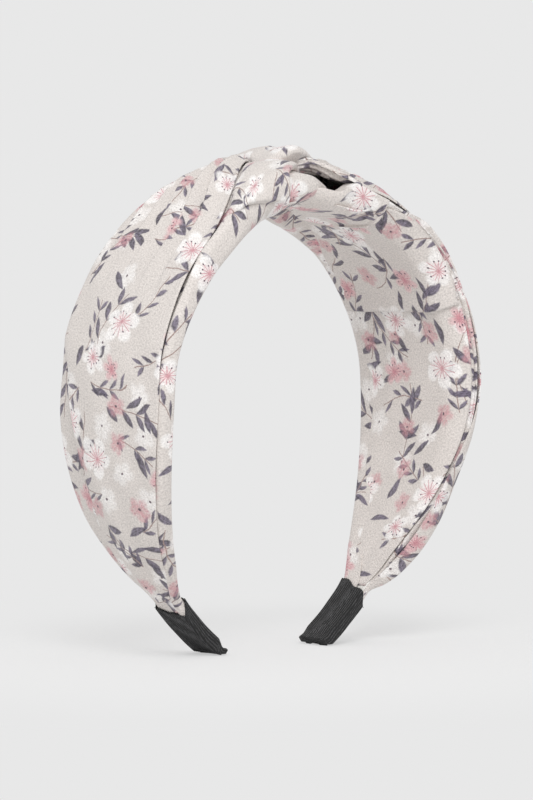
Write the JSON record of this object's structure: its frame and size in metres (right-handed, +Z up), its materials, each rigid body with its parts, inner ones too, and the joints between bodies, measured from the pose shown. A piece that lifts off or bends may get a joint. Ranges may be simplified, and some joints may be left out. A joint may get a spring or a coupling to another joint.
{
  "type": "knotted headband",
  "caption": "Wide padded fabric headband with a floral print, a twisted knot at the crown, a lined inside and ribbon-capped tips on a springy core.",
  "frame": {"origin": "on the table midway between the two tips' feet, under the middle of the headband's box", "axes": "+Z up through the crown as the headband stands on its tips, X from ear to ear, -Y the front edge"},
  "size_m": [0.1356, 0.05, 0.1584],
  "materials": {
    "core_plastic": "moulded, matte",
    "print_cloth": "light grey crepe with a printed blossom and leaf pattern",
    "wadding": "soft white wadding",
    "thread": "spun thread",
    "black_ribbon": "ribbed ribbon"
  },
  "bodies": {
    "crown": {"core_band": "core_plastic", "crown_lining": "print_cloth", "knot_underlay": "print_cloth", "left_knot_loop": "print_cloth", "right_knot_loop": "print_cloth", "knot_tacks": "thread"},
    "left_arm": {"left_padding": "wadding", "left_edge_wrap": "print_cloth", "left_outer_wrap": "print_cloth", "left_wrap_tail": "print_cloth", "left_lining_upper": "print_cloth", "left_lining_lower": "print_cloth", "left_tip_ribbon": "black_ribbon"},
    "right_arm": {"right_padding": "wadding", "right_edge_wrap": "print_cloth", "right_outer_wrap": "print_cloth", "right_wrap_tail": "print_cloth", "right_lining_upper": "print_cloth", "right_lining_lower": "print_cloth", "right_tip_ribbon": "black_ribbon"}
  },
  "joints": [
    {"name": "left_arm_flex", "type": "hinge", "parent": "crown", "child": "left_arm", "pos_m": [-0.01929, 0, 0.14885], "axis": [0, 1, 0], "range_deg": [-5, 20], "stiffness_Nm_per_rad": 0.6, "deforming": ["core_band"]},
    {"name": "right_arm_flex", "type": "hinge", "parent": "crown", "child": "right_arm", "pos_m": [0.01929, 0, 0.14885], "axis": [0, -1, 0], "range_deg": [-5, 20], "stiffness_Nm_per_rad": 0.6, "deforming": ["core_band"]}
  ]
}
